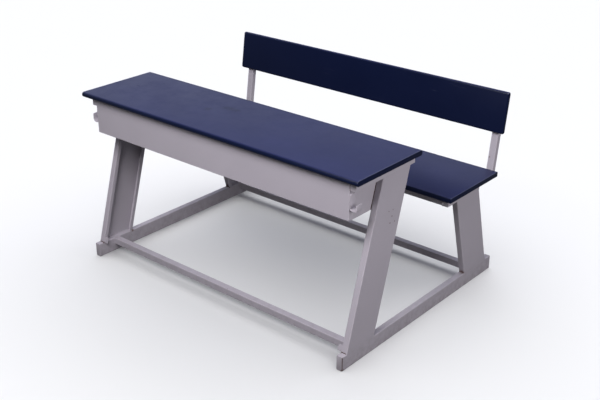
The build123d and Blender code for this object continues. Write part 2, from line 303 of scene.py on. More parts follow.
def object_place(tree):
    """A point's place in the frame."""
    return add(tree, "ShaderNodeTexCoord").outputs["Object"]


def face_direction(tree):
    """The X, Y and Z parts of the way that a face looks."""
    normal = add(tree, "ShaderNodeNewGeometry").outputs["Normal"]
    return add(tree, "ShaderNodeSeparateXYZ", None, {0: normal}).outputs


def start_group(name, inputs, outputs):
    """An empty node group with named sockets: its tree, its inputs and its output node."""
    tree = bpy.data.node_groups.new(name, "ShaderNodeTree")
    for socket, default in inputs.items():
        made = tree.interface.new_socket(socket, in_out="INPUT", socket_type="NodeSocketFloat")
        made.default_value = default
    for socket in outputs:
        tree.interface.new_socket(socket, in_out="OUTPUT", socket_type="NodeSocketFloat")
    return tree, tree.nodes.new("NodeGroupInput").outputs, tree.nodes.new("NodeGroupOutput")


def finish_group(tree, output_node, results):
    """Links a group's results to its outputs."""
    for socket, value in results.items():
        tree.links.new(value, output_node.inputs[socket])


def use_group(tree, name, inputs):
    """Places a node group in a material and returns its outputs."""
    return add(tree, "ShaderNodeGroup", {"node_tree": bpy.data.node_groups[name]}, inputs).outputs


def make_paint_skin_group():
    """Orange peel, faint roller streaks and slow shade changes of a sprayed or rolled coat."""
    tree, given, out = start_group(
        "Paint Skin", {"Peel Scale": 420.0, "Streak Scale": 26.0, "Shade Scale": 5.0}, ("Height", "Shade")
    )
    place = object_place(tree)
    peel = noise(tree, place, given["Peel Scale"], 2.0)
    streaks = noise(tree, stretched(tree, place, (1.0, 7.0, 7.0)), given["Streak Scale"], 4.0, 0.6)
    shade = noise(tree, place, given["Shade Scale"], 4.0, 0.6)
    height = maths(tree, "MULTIPLY_ADD", peel, 0.6, product(tree, streaks, 0.4))
    finish_group(tree, out, {"Height": height, "Shade": shade})


def make_edge_wear_group():
    """Mask of the outer edges, broken up by noise."""
    tree, given, out = start_group(
        "Edge Wear", {"Radius": 0.0015, "Amount": 0.5, "Breakup": 60.0}, ("Mask",)
    )
    rounded = add(tree, "ShaderNodeBevel", {"samples": 4}, {"Radius": given["Radius"]})
    flat = add(tree, "ShaderNodeNewGeometry").outputs["Normal"]
    dot = add(
        tree, "ShaderNodeVectorMath", {"operation": "DOT_PRODUCT"}, {0: rounded.outputs[0], 1: flat}
    )
    turned = maths(tree, "SUBTRACT", 1.0, dot.outputs["Value"], clamp=True)
    patches = noise(tree, object_place(tree), given["Breakup"], 5.0, 0.65)
    threshold = maths(tree, "SUBTRACT", 1.0, given["Amount"])
    past = maths(tree, "SUBTRACT", patches, threshold, clamp=True)
    broken = maths(tree, "MULTIPLY", past, 6.0, clamp=True)
    finish_group(tree, out, {"Mask": product(tree, ramp(tree, turned, 0.02, 0.12), broken)})


def make_scratch_group():
    """Fine straight scratches in three directions, in sparse patches."""
    tree, given, out = start_group("Scratches", {"Scale": 6.0, "Amount": 0.3}, ("Mask",))
    place = object_place(tree)
    lines = 0.0
    for turn, stretch in ((0.35, 26.0), (-0.9, 34.0), (1.35, 22.0)):
        along = stretched(tree, place, (1.0, stretch, stretch), (0.0, turn, turn))
        line = ramp(tree, noise(tree, along, given["Scale"], 2.0), 0.71, 0.76)
        lines = maths(tree, "MAXIMUM", line, lines)
    patches = noise(tree, place, 11.0, 3.0, 0.6)
    threshold = maths(tree, "SUBTRACT", 1.0, given["Amount"])
    shown = ramp(tree, maths(tree, "SUBTRACT", patches, threshold), -0.04, 0.04)
    finish_group(tree, out, {"Mask": product(tree, lines, shown)})


def make_dust_group():
    """Fine dust on faces that look up, grime near the floor, and painted shadow just below a height, under
    the desk top.
    """
    inputs = {"Scale": 18.0, "Floor Height": 0.06, "Top Height": 0.6}
    tree, given, out = start_group("Dust", inputs, ("Up", "Dust", "Grime", "Stain"))
    shade_depth, shade_fade, shade_ragged = 0.010, 0.003, 0.006
    place = object_place(tree)
    clouds = noise(tree, place, given["Scale"], 6.0, 0.7)
    up = ramp(tree, face_direction(tree)["Z"], 0.3, 1.0)
    dust = product(tree, up, ramp(tree, clouds, 0.35, 0.75))
    height = add(tree, "ShaderNodeSeparateXYZ", None, {0: place}).outputs["Z"]
    low = maths(tree, "SUBTRACT", 1.0, maths(tree, "DIVIDE", height, given["Floor Height"]), clamp=True)
    ragged = noise(tree, place, 45.0, 5.0, 0.7)
    grime = product(tree, low, ramp(tree, ragged, 0.3, 0.8))
    # Painted shadow: a darker band just below the desk top's height, ragged at its lower edge
    uneven = maths(tree, "MULTIPLY_ADD", ragged, shade_ragged, height)
    start = maths(tree, "SUBTRACT", given["Top Height"], shade_depth)
    under_top_shade = ramp(tree, uneven, start, maths(tree, "ADD", given["Top Height"], shade_fade))
    finish_group(tree, out, {"Up": up, "Dust": dust, "Grime": grime, "Stain": under_top_shade})


def make_speck_group():
    """Small round specks, such as chips in paint, where only a few cells in a hundred hold one."""
    tree, given, out = start_group("Specks", {"Scale": 90.0, "Size": 0.16, "Amount": 0.04}, ("Mask",))
    cells = add(
        tree, "ShaderNodeTexVoronoi", None, {"Vector": object_place(tree), "Scale": given["Scale"]}
    )
    chance = add(tree, "ShaderNodeSeparateColor", None, {0: cells.outputs["Color"]}).outputs[0]
    chosen = maths(tree, "LESS_THAN", chance, given["Amount"])
    away = maths(tree, "DIVIDE", cells.outputs["Distance"], given["Size"])
    finish_group(tree, out, {"Mask": product(tree, chosen, fall(tree, away, 0.7, 1.0))})


def make_bloom_group():
    """A ragged patch around one place, such as rust that creeps out of a joint."""
    inputs = {"X": 0.0, "Y": 0.0, "Z": 0.0, "Radius": 0.01, "Ragged": 110.0}
    tree, given, out = start_group("Bloom", inputs, ("Mask",))
    centre = add(tree, "ShaderNodeCombineXYZ", None, {axis: given[axis] for axis in "XYZ"}).outputs[0]
    place = object_place(tree)
    away = add(tree, "ShaderNodeVectorMath", {"operation": "DISTANCE"}, {0: place, 1: centre})
    reach = maths(tree, "DIVIDE", away.outputs["Value"], given["Radius"])
    edge = maths(tree, "MULTIPLY_ADD", noise(tree, place, given["Ragged"], 4.0, 0.7), 1.4, reach)
    finish_group(tree, out, {"Mask": fall(tree, edge, 0.8, 1.5)})


def make_groups():
    """Builds every shared node group once."""
    make_paint_skin_group()
    make_edge_wear_group()
    make_scratch_group()
    make_dust_group()
    make_speck_group()
    make_bloom_group()


def start_material(name):
    """A new material's tree and its Principled shader."""
    made = bpy.data.materials.new(name)
    made.use_nodes = True
    return made.node_tree, made.node_tree.nodes["Principled BSDF"]


def bump(tree, shader, height, strength, distance):
    """Feeds a height into the shader's normal."""
    made = add(tree, "ShaderNodeBump", None, {"Height": height, "Strength": strength, "Distance": distance})
    tree.links.new(made.outputs["Normal"], shader.inputs["Normal"])


def toned(colour, tone):
    """A darker or lighter tone of a colour."""
    return tuple(tone * part for part in colour)


def colour_coat(tree, shader, colour, layers=()):
    """Colours a shader: layers over a colour, each with its mask, its strength and its own colour."""
    for mask, strength, tint in layers:
        colour = mix_colour(tree, product(tree, mask, strength), colour, tint)
    tree.links.new(colour, shader.inputs["Base Color"])


def roughen_coat(tree, shader, middle, shade, spread, layers):
    """Sets a shader's roughness: it varies with the shade, and each layer's mask adds its share."""
    rough = maths(tree, "MULTIPLY_ADD", shade, spread, middle - spread / 2)
    for mask, rise in layers:
        rough = maths(tree, "MULTIPLY_ADD", mask, rise, rough, clamp=True)
    tree.links.new(rough, shader.inputs["Roughness"])


def dent(tree, shader, skin, mask, depth, strength, distance):
    """Bumps a coat by its skin, with dents where a mask shows."""
    height = maths(tree, "SUBTRACT", skin["Height"], product(tree, mask, depth))
    bump(tree, shader, height, strength, distance)


def add_blooms(tree, mask, blooms):
    """A mask with ragged patches added to it, each with its place and radius."""
    for (x, y, z), radius in blooms:
        patch = use_group(tree, "Bloom", {"X": x, "Y": y, "Z": z, "Radius": radius})["Mask"]
        mask = maths(tree, "MAXIMUM", patch, mask)
    return mask


def top_sheen_mask(tree, up, shade):
    """Mask of the painted sheen on top of the boards, partly a veil of fine dust, thinner where the desk
    top is rubbed.
    """
    thin, thick, rubbed_away = 0.35, 0.5, 0.65
    desk_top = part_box("desk_top_board")[1].z
    rubbed = add_blooms(tree, 0.0, [((x, y, desk_top), radius) for x, y, radius in DESK_SCUFFS])
    left = maths(tree, "MULTIPLY_ADD", rubbed, -rubbed_away, 1.0)
    return product(tree, ramp(tree, up, 0.5, 1.0), ramp(tree, shade, 0.2, 0.8, thin, thick), left)


def end_highlight_mask(tree):
    """Mask of the rounding between a board's top and its two ends, where a painted highlight is laid."""
    direction = face_direction(tree)
    endwise = maths(tree, "ABSOLUTE", direction["X"])
    past_top, before_end = ramp(tree, endwise, 0.2, 0.4), fall(tree, endwise, 0.75, 0.95)
    return product(tree, past_top, before_end, ramp(tree, direction["Z"], 0.2, 0.4))


def make_lacquer():
    """Glossy navy lacquer with a painted sheen on its tops (partly fine dust), scratches, dust, a painted
    highlight on the end roundings and chipped corners.
    """
    boards = bpy.context.scene.desk_boards
    tree, shader = start_material("navy_lacquer")
    skin = use_group(tree, "Paint Skin", {"Peel Scale": 300.0, "Streak Scale": 14.0, "Shade Scale": 4.0})
    scratches = use_group(tree, "Scratches", {"Scale": 6.0, "Amount": 0.45})["Mask"]
    found = use_group(tree, "Dust", {"Scale": 9.0, "Floor Height": 0.05})
    chips = use_group(tree, "Edge Wear", {"Radius": 0.0012, "Amount": 0.33, "Breakup": 38.0})["Mask"]
    base = mix_colour(tree, skin["Shade"], toned(boards.lacquer, 0.8), toned(boards.lacquer, 1.2))
    layers = (
        # painted sheen on the tops, partly fine dust
        (top_sheen_mask(tree, found["Up"], skin["Shade"]), 1.0, boards.top_sheen_and_dust),
        (scratches, 0.3, boards.worn),
        (found["Dust"], 0.10, boards.worn),
        # painted highlight on the roundings between the tops and the ends
        (end_highlight_mask(tree), 0.55, boards.rim),
        (chips, 1.0, boards.wood),
    )
    colour_coat(tree, shader, base, layers)
    rises = ((scratches, 0.2), (found["Dust"], 0.10), (chips, 0.4))
    roughen_coat(tree, shader, boards.gloss, skin["Shade"], 0.12, rises)
    shader.inputs["Specular IOR Level"].default_value = boards.sheen
    dent(tree, shader, skin, chips, depth=0.6, strength=0.10, distance=0.0006)


def weld_blooms(steel):
    """Places where rust has crept out of a joint, with the radius of each patch."""
    blooms = []
    for side_name, side in SIDES:
        outer, inner = rail_faces(side_name, side)
        low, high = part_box(f"{side_name}_base_rail")
        for leg in ("desk_leg", "seat_leg"):
            (front, back), _ = leg_ends(side_name, leg, steel.leg_web)
            blooms.append(((inner, front, high.z), FRONT_FOOT_RUST))
            blooms.append(((inner, back, high.z), BACK_FOOT_RUST))
        seat_foot = leg_ends(side_name, "seat_leg", steel.leg_web)[0][0]
        middle = ((inner + outer) / 2, seat_foot, high.z + SEAT_FOOT_RISE)
        blooms.append((middle, SEAT_FOOT_RUST))
        blooms.append(((outer, low.y, low.z), RAIL_END_RUST))
    return blooms + [(spot, SPOT_RUST) for spot in RUST_SPOTS]


def make_paint(name, speck_amount, wear_amount):
    """Light grey paint on steel, with peel, dust, grime near the floor, painted shadow just under the desk
    top and a little rust.
    """
    steel = bpy.context.scene.desk_steel
    tree, shader = start_material(name)
    skin = use_group(tree, "Paint Skin", {"Peel Scale": 520.0, "Streak Scale": 30.0, "Shade Scale": 6.0})
    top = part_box("desk_top_board")[0].z
    found = use_group(tree, "Dust", {"Scale": 22.0, "Floor Height": 0.07, "Top Height": top})
    specks = use_group(tree, "Specks", {"Scale": 70.0, "Size": 0.10, "Amount": speck_amount})["Mask"]
    wear = use_group(tree, "Edge Wear", {"Radius": 0.0015, "Amount": wear_amount, "Breakup": 55.0})["Mask"]
    rust = add_blooms(tree, specks, weld_blooms(steel))
    base = mix_colour(tree, skin["Shade"], toned(steel.paint, 0.93), toned(steel.paint, 1.05))
    layers = (
        (found["Dust"], 0.10, steel.grime),
        (found["Grime"], 0.5, steel.grime),
        # painted shadow under the desk top, tinted brown
        (found["Stain"], 0.55, steel.under_top_shade),
        (wear, 0.55, steel.grime),
        (rust, 0.8, steel.rust),
    )
    colour_coat(tree, shader, base, layers)
    rises = ((found["Grime"], 0.25), (rust, 0.35))
    roughen_coat(tree, shader, steel.roughness, skin["Shade"], 0.14, rises)
    shader.inputs["Specular IOR Level"].default_value = steel.sheen
    dent(tree, shader, skin, rust, depth=0.5, strength=0.16, distance=0.0005)


def make_rust_and_gap_shadow():
    """Dark rust in a seam that the paint didn't reach, also laid as painted shadow in the narrow gaps at
    the front caps and the legs.
    """
    steel = bpy.context.scene.desk_steel
    tree, shader = start_material("rust_and_gap_shadow")
    grain = noise(tree, object_place(tree), 500.0, 6.0, 0.7)
    colour_coat(tree, shader, mix_colour(tree, grain, toned(steel.rust, 0.35), steel.rust))
    tree.links.new(ramp(tree, grain, 0.0, 1.0, 0.7, 0.95), shader.inputs["Roughness"])
    bump(tree, shader, grain, strength=0.5, distance=0.0008)


def make_zinc():
    """Bright zinc plating with duller clouds and a fine grain."""
    steel = bpy.context.scene.desk_steel
    tree, shader = start_material("zinc_plating")
    place = object_place(tree)
    cloud = noise(tree, place, 160.0, 4.0, 0.6)
    colour_coat(tree, shader, mix_colour(tree, cloud, toned(steel.zinc, 0.75), steel.zinc))
    tree.links.new(ramp(tree, cloud, 0.2, 0.8, 0.28, 0.45), shader.inputs["Roughness"])
    shader.inputs["Metallic"].default_value = 1.0
    bump(tree, shader, noise(tree, place, 1800.0), strength=0.2, distance=0.0002)


# ---------------------------------------------------------------------- mesh tools


def finish_piece(bm, name, materials, replaced=()):
    """Turns a bmesh into a piece of the object, with the materials named, that rides on the frame."""
    bmesh.ops.remove_doubles(bm, verts=bm.verts, dist=MERGE)
    bmesh.ops.recalc_face_normals(bm, faces=bm.faces)
    mesh = bpy.data.meshes.new(name)
    bm.to_mesh(mesh)
    bm.free()
    for material in materials:
        mesh.materials.append(bpy.data.materials[material])
    mesh.polygons.foreach_set("use_smooth", [True] * len(mesh.polygons))
    mesh.set_sharp_from_angle(angle=SHARP_ANGLE)
    piece = bpy.data.objects.new(name, mesh)
    bpy.context.scene.collection.objects.link(piece)
    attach(piece, BODY)
    if replaced:
        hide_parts(*replaced)


def add_block(bm, low, high):
    """Adds a box between two corners and returns its vertices."""
    size = high - low
    place = Matrix.Translation((low + high) / 2) @ Matrix.Diagonal((*size, 1.0))
    return bmesh.ops.create_cube(bm, size=1.0, matrix=place)["verts"]


def edges_of(verts, test):
    """Edges between these vertices that pass a test on their middle and direction."""
    found = {edge for vert in verts for edge in vert.link_edges}
    kept = []
    for edge in found:
        first, second = (vert.co for vert in edge.verts)
        if test((first + second) / 2, (second - first).normalized()):
            kept.append(edge)
    return kept


def round_off(bm, parts, radius, segments, affect="EDGES"):
    """Rounds edges or vertices with an arc."""
    bmesh.ops.bevel(
        bm,
        geom=parts,
        offset=radius,
        affect=affect,
        segments=segments,
        profile=0.5,
        material=-1,
        clamp_overlap=False,
    )


def runs_along(direction, axis):
    """True for an edge parallel to an axis."""
    return abs(direction.dot(axis)) > 0.999


def outer_and_inner(low, high, side):
    """X of a box's end that looks away from the desk's middle, and of the end that looks towards it."""
    return (high.x, low.x) if side > 0 else (low.x, high.x)


def join(bm, part, place=Matrix.Identity(4)):
    """Moves one bmesh into another, through a placement."""
    bmesh.ops.transform(part, matrix=place, verts=part.verts)
    mesh = bpy.data.meshes.new("joined")
    part.to_mesh(mesh)
    part.free()
    bm.from_mesh(mesh)
    bpy.data.meshes.remove(mesh)


def cut_away(bm, cutter):
    """Cuts one closed bmesh out of another, frees both and returns the mesh that is left."""
    objects = []
    for shape in (bm, cutter):
        bmesh.ops.recalc_face_normals(shape, faces=shape.faces)
        mesh = bpy.data.meshes.new("cut")
        shape.to_mesh(mesh)
        shape.free()
        objects.append(bpy.data.objects.new("cut", mesh))
        bpy.context.scene.collection.objects.link(objects[-1])
    body, tool = objects
    cut = body.modifiers.new("cut", "BOOLEAN")
    cut.object, cut.operation, cut.solver = tool, "DIFFERENCE", "EXACT"
    cut.use_self = True
    graph = bpy.context.evaluated_depsgraph_get()
    left = bpy.data.meshes.new_from_object(body.evaluated_get(graph))
    for item in objects:
        mesh = item.data
        bpy.data.objects.remove(item)
        bpy.data.meshes.remove(mesh)
    return left


# ---------------------------------------------------------------------- boards


def add_board(bm, size, flat, end_round):
    """A board centred on the origin, with rounded long edges and ends."""
    upended = Matrix.Rotation(2 * pi / 3, 4, Vector((1, 1, 1)))
    profile = upended @ Matrix.Diagonal((size.y, size.z, 1.0, 1.0))
    corners = bmesh.ops.create_grid(bm, x_segments=1, y_segments=1, size=0.5, matrix=profile)["verts"]
    round_off(bm, corners, (size.z - flat) / 2, segments=10, affect="VERTICES")
    made = bmesh.ops.extrude_face_region(bm, geom=bm.faces[:])["geom"]
    far = [item for item in made if isinstance(item, bmesh.types.BMVert)]
    bmesh.ops.translate(bm, verts=far, vec=X * size.x)
    bmesh.ops.translate(bm, verts=bm.verts, vec=-X * size.x / 2)
    bmesh.ops.recalc_face_normals(bm, faces=bm.faces)
    ends = [edge for edge in bm.edges if any(abs(face.normal.x) > 0.5 for face in edge.link_faces)]
    round_off(bm, ends, end_round, segments=4)


class SCHOOLDESK_OT_flat_boards(bpy.types.Operator):
    """Make the desk top and the seat"""

    bl_idname = "school_desk.flat_boards"
    bl_label = "Desk top and seat"

    def execute(self, context):
        boards = context.scene.desk_boards
        for node, flat, end_round in (
            ("desk_top_board", boards.desk_flat, boards.desk_end),
            ("seat_board", boards.seat_flat, boards.seat_end),
        ):
            low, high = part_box(node)
            bm = bmesh.new()
            add_board(bm, high - low, flat, end_round)
            bmesh.ops.translate(bm, verts=bm.verts, vec=(low + high) / 2)
            finish_piece(bm, f"{node}_lacquered", ["navy_lacquer"], [node])
        return {"FINISHED"}


class SCHOOLDESK_OT_backrest(bpy.types.Operator):
    """Make the leaning backrest"""

    bl_idname = "school_desk.backrest"
    bl_label = "Backrest"

    def execute(self, context):
        boards = context.scene.desk_boards
        low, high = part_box("backrest_board")
        lean, flat = boards.lean, boards.back_flat
        rounded = boards.thickness - flat
        height = (high.z - low.z - rounded - flat * sin(lean)) / cos(lean) + rounded
        bm = bmesh.new()
        size = Vector((high.x - low.x, height, boards.thickness))
        add_board(bm, size, flat, boards.back_end)
        bmesh.ops.transform(bm, matrix=Matrix.Rotation(pi / 2 - lean, 4, "X"), verts=bm.verts)
        bmesh.ops.translate(bm, verts=bm.verts, vec=(low + high) / 2)
        finish_piece(bm, "backrest_board_lacquered", ["navy_lacquer"], ["backrest_board"])
        return {"FINISHED"}


# ---------------------------------------------------------------------- painted steel


def rail_faces(side_name, side):
    """X of a base rail's outer and inner faces."""
    return outer_and_inner(*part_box(f"{side_name}_base_rail"), side)


def leg_ends(side_name, leg, web):
    """Y range of a leg's foot and of its top."""
    low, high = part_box(f"{side_name}_{leg}")
    front, back = (low.y, low.y + web), (high.y - web, high.y)
    return (front, back) if leg == "desk_leg" else (back, front)


class SCHOOLDESK_OT_paint_frame(bpy.types.Operator):
    """Paint every steel piece that keeps its mesh"""

    bl_idname = "school_desk.paint_frame"
    bl_label = "Painted steel"

    def execute(self, context):
        paint = bpy.data.materials["grey_steel_paint"]
        for name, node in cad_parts.items():
            if not name.endswith(("_board", "_screws")):
                node.data.materials.clear()
                node.data.materials.append(paint)
        return {"FINISHED"}


class SCHOOLDESK_OT_rail_caps(bpy.types.Operator):
    """Make the plates that close the base rails, with an unpainted seam beside each front one"""

    bl_idname = "school_desk.rail_caps"
    bl_label = "Base rail caps"

    def execute(self, context):
        steel = context.scene.desk_steel
        for side_name, side in SIDES:
            for end in ("front", "rear"):
                node = f"{side_name}_base_{end}_cap"
                low, high = (corner.copy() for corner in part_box(node))
                bm = bmesh.new()
                if end == "front":
                    self.add_seam(bm, low, high, side, steel)
                    if side > 0:
                        high.x -= steel.seam
                    else:
                        low.x += steel.seam
                verts = add_block(bm, low, high)
                corners = edges_of(verts, lambda middle, way: runs_along(way, Y))
                round_off(bm, corners, steel.tube_corner, segments=6)
                shown = low.y if end == "front" else high.y
                rim = [
                    edge
                    for edge in bm.edges
                    if all(abs(vert.co.y - shown) < MERGE for vert in edge.verts)
                    and any(abs(face.normal.y) < 0.5 for face in edge.link_faces)
                ]
                round_off(bm, rim, steel.plate_edge, segments=3)
                finish_piece(bm, f"{node}_plate", ["grey_steel_paint", "rust_and_gap_shadow"], [node])
        return {"FINISHED"}

    def add_seam(self, bm, low, high, side, steel):
        """The recessed strip of bare, rusty steel between the plate and the rail's outer wall."""
        seam_low, seam_high = low + Z * steel.tube_corner, high - Z * steel.tube_corner
        seam_low.y += steel.seam / 2
        tucked = 1.1 * steel.seam
        if side > 0:
            seam_low.x = high.x - tucked
        else:
            seam_high.x = low.x + tucked
        for vert in add_block(bm, seam_low, seam_high):
            for face in vert.link_faces:
                face.material_index = 1


class SCHOOLDESK_OT_bag_hooks(bpy.types.Operator):
    """Make the two bent-strip bag hooks"""

    bl_idname = "school_desk.bag_hooks"
    bl_label = "Bag hooks"

    def execute(self, context):
        steel = context.scene.desk_steel
        shapes = {
            "left": (steel.left_hook_bend, steel.left_hook_tip),
            "right": (steel.right_hook_bend, steel.right_hook_tip),
        }
        for side_name, side in SIDES:
            node = f"{side_name}_bag_hook"
            low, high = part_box(node)
            bend, tip_height = shapes[side_name]
            turn = bend + steel.hook_sheet / 2
            tip, wall = outer_and_inner(low, high, side)
            middle = Vector((wall + side * steel.hook_sheet / 2, (low.y + high.y) / 2, high.z))
            section = Matrix.Diagonal((steel.hook_sheet, high.y - low.y, 1.0, 1.0))
            place = Matrix.Translation(middle) @ section
            bm = bmesh.new()
            bmesh.ops.create_grid(bm, x_segments=1, y_segments=1, size=0.5, matrix=place)
            bm.faces.ensure_lookup_table()
            end = self.lengthen(bm, bm.faces[0], Z * (low.z + turn - high.z))
            end = self.bend(bm, end, wall + side * turn, low.z + turn, side)
            end = self.lengthen(bm, end, X * side * (abs(tip - wall) - 2 * turn))
            end = self.bend(bm, end, tip - side * turn, low.z + turn, side)
            self.lengthen(bm, end, Z * (tip_height - turn))
            bmesh.ops.remove_doubles(bm, verts=bm.verts, dist=MERGE)
            inside = [face for face in bm.faces if all(len(edge.link_faces) > 2 for edge in face.edges)]
            bmesh.ops.delete(bm, geom=inside, context="FACES_ONLY")
            bmesh.ops.recalc_face_normals(bm, faces=bm.faces)
            self.round_ends(bm, (high.z, low.z + tip_height), steel)
            finish_piece(bm, f"{node}_strip", ["grey_steel_paint"], [node])
        return {"FINISHED"}

    def lengthen(self, bm, end, way):
        """Lengthens the strip straight on from its end face, and returns the new end face."""
        made = bmesh.ops.extrude_face_region(bm, geom=[end])["geom"]
        verts = [item for item in made if isinstance(item, bmesh.types.BMVert)]
        bmesh.ops.translate(bm, verts=verts, vec=way)
        return next(item for item in made if isinstance(item, bmesh.types.BMFace))

    def bend(self, bm, end, centre_x, centre_z, side):
        """Bends the strip through a quarter turn from its end face, and returns the new end face."""
        made = bmesh.ops.spin(
            bm,
            geom=[end, *end.edges, *end.verts],
            cent=(centre_x, 0.0, centre_z),
            axis=Y * -side,
            angle=pi / 2,
            steps=10,
            use_merge=False,
        )
        return next(item for item in made["geom_last"] if isinstance(item, bmesh.types.BMFace))

    def round_ends(self, bm, levels, steel):
        """Rounds the corners of the strip's two ends, and eases its long edges."""
        corners = [
            edge
            for edge in bm.edges
            if any(all(abs(vert.co.z - level) < MERGE for vert in edge.verts) for level in levels)
            and all(abs(face.normal.x) < 0.5 for face in edge.link_faces)
        ]
        round_off(bm, corners, steel.hook_corner, segments=5)
        rim = [edge for edge in bm.edges if sum(abs(face.normal.y) > 0.5 for face in edge.link_faces) == 1]
        round_off(bm, rim, steel.hook_ease, segments=2)


class SCHOOLDESK_OT_welds(bpy.types.Operator):
    """Lay the frame's weld beads, tacks and ground-down welds, and the dark lines of painted shadow in its
    open joints
    """

    bl_idname = "school_desk.welds"
    bl_label = "Welds"

    def execute(self, context):
        steel = context.scene.desk_steel
        for side_name, side in SIDES:
            outer, inner = rail_faces(side_name, side)
            self.leg_welds(side_name, side, inner, outer, steel)
            self.cross_welds(side_name, side, inner, steel)
            self.arm_welds(side_name, side, steel)
            self.box_welds(side_name, side, inner, steel)
            self.shadow_gap_lines(side_name, side, inner, outer, steel)
        return {"FINISHED"}

    def lay(self, name, beads, fillers, steel, material="weld_paint", radius=None):
        """Makes one piece of beads, each between two points, and of filler blocks."""
        bm = bmesh.new()
        for first, second in fillers:
            filler = bmesh.new()
            add_block(filler, Vector(map(min, first, second)), Vector(map(max, first, second)))
            round_off(filler, filler.edges[:], steel.grind_round, segments=2)
            join(bm, filler)
        for start, end in beads:
            self.add_bead(bm, Vector(start), Vector(end), radius or steel.bead, steel.ripple)
        finish_piece(bm, name, [material])

    def add_bead(self, bm, start, end, radius, ripple_length):
        """A rippled bead between two points, with tapered ends."""
        way = end - start
        bead = bmesh.new()
        bmesh.ops.create_cone(
            bead, cap_ends=True, segments=BEAD_SIDES, radius1=radius, radius2=radius, depth=way.length
        )
        rings = 2 * max(2, round(way.length / ripple_length))
        long_edges = edges_of(bead.verts, lambda middle, along: runs_along(along, Z))
        bmesh.ops.subdivide_edges(bead, edges=long_edges, cuts=rings - 1, use_grid_fill=True)
        for vert in bead.verts:
            along = vert.co.z + way.length / 2
            near_end = min(along, way.length - along)
            taper = BEAD_END + (1 - BEAD_END) * min(1.0, near_end / (BEAD_TAPER * radius))
            ripple = 1 + BEAD_RIPPLE * cos(2 * pi * along / ripple_length)
            wave = 1 + BEAD_WAVE * sin(WAVE_RATE * along + WAVE_SHIFT.dot(start))
            vert.co.xy *= taper * ripple * wave
        turn = Z.rotation_difference(way.normalized()).to_matrix().to_4x4()
        join(bm, bead, Matrix.Translation((start + end) / 2) @ turn)

    def leg_welds(self, side_name, side, inner, outer, steel):
        """Ground welds outside each leg's ends, beads inside them, and the lug's weld."""
        rail_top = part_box(f"{side_name}_base_rail")[1].z
        fill = steel.tube_corner
        proud = side * steel.grind_proud
        beads, fillers = [], []
        for leg, upper in (("desk_leg", "desk_side_rail"), ("seat_leg", "seat_side_rail")):
            foot, head = leg_ends(side_name, leg, steel.leg_web)
            rail_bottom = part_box(f"{side_name}_{upper}")[0].z
            edge = outer - side * (steel.sheet + steel.bead / 4)
            for (front, back), z, up in ((foot, rail_top, -1), (head, rail_bottom, 1)):
                fillers.append(((outer - side * fill, front, z), (outer + proud, back, z + up * fill)))
                inset = 2 * steel.bead
                level = z - up * steel.bead / 4
                beads.append(((edge, front + inset, level), (edge, back - inset, level)))
        low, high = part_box(f"{side_name}_leg_lug")
        lean = (high.y - low.y) / 2
        beads.append(((inner, low.y, low.z + steel.bead), (inner, low.y + lean, high.z - steel.bead)))
        self.lay(f"{side_name}_leg_welds", beads, fillers, steel)

    def corner_beads(self, places, low, high, steel):
        """Beads up the corners of a box, at each X and Y, that stop short of its top and bottom."""
        return [((x, y, low.z + steel.bead), (x, y, high.z - steel.bead)) for x, y in places]

    def cross_welds(self, side_name, side, inner, steel):
        """Beads down the front and back of each cross member's end, and ground welds on top."""
        beads, fillers = [], []
        for member in ("front_foot_bar", "rear_foot_bar", "desk_rear_rail", "seat_front_rail"):
            low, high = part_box(member)
            beads += self.corner_beads(((inner, low.y), (inner, high.y)), low, high, steel)
            beads.append(((inner, low.y, low.z), (inner, high.y, low.z)))
            if "foot_bar" in member:
                fillers.append(
                    (
                        (inner - side * steel.bead, low.y + steel.bead, high.z - steel.tube_corner),
                        (inner + side * steel.tube_corner, high.y - steel.bead, high.z),
                    )
                )
        low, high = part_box("seat_rear_rail")
        end = outer_and_inner(low, high, side)[0]
        beads += self.corner_beads(((end, low.y), (end, high.y)), low, high, steel)
        self.lay(f"{side_name}_cross_welds", beads, fillers, steel)

    def arm_welds(self, side_name, side, steel):
        """Beads round the front end of each seat arm and round the foot of its upright."""
        low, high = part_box(f"{side_name}_seat_arm")
        beads = [((low.x, low.y, low.z), (high.x, low.y, low.z))]
        beads += self.corner_beads(((low.x, low.y), (high.x, low.y)), low, high, steel)
        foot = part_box(f"{side_name}_backrest_upright")[0]
        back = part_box(f"{side_name}_seat_arm_cap")[1].y
        beads.append(((low.x, foot.y, foot.z), (high.x, foot.y, foot.z)))
        beads.append(((low.x, foot.y, foot.z), (low.x, back, foot.z)))
        beads.append(((high.x, foot.y, foot.z), (high.x, back, foot.z)))
        self.lay(f"{side_name}_arm_welds", beads, (), steel)

    def box_welds(self, side_name, side, inner, steel):
        """Tacks that hold the book box's end plate, its shelf and the bag hook."""
        low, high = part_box(f"{side_name}_box_end_plate")
        rail_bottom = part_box(f"{side_name}_desk_side_rail")[0].z
        beads = []
        for along in PLATE_TACKS:
            y = low.y + along * (high.y - low.y)
            beads.append(((inner, y, rail_bottom), (inner, y + steel.tack, rail_bottom)))
            z = low.z + along * (rail_bottom - low.z - steel.tack)
            beads.append(((inner, low.y, z), (inner, low.y, z + steel.tack)))
        low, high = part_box("book_shelf")
        end = outer_and_inner(low, high, side)[0]
        for along in SHELF_TACKS:
            y = low.y + along * (high.y - low.y)
            beads.append(((end, y, low.z), (end, y + steel.tack, low.z)))
        low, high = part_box(f"{side_name}_bag_hook")
        x, top = inner + side * steel.bead / 3, high.z - steel.tack / 2
        beads += [((x, y, top - steel.tack), (x, y, top)) for y in (low.y, high.y)]
        self.lay(f"{side_name}_box_welds", beads, (), steel)

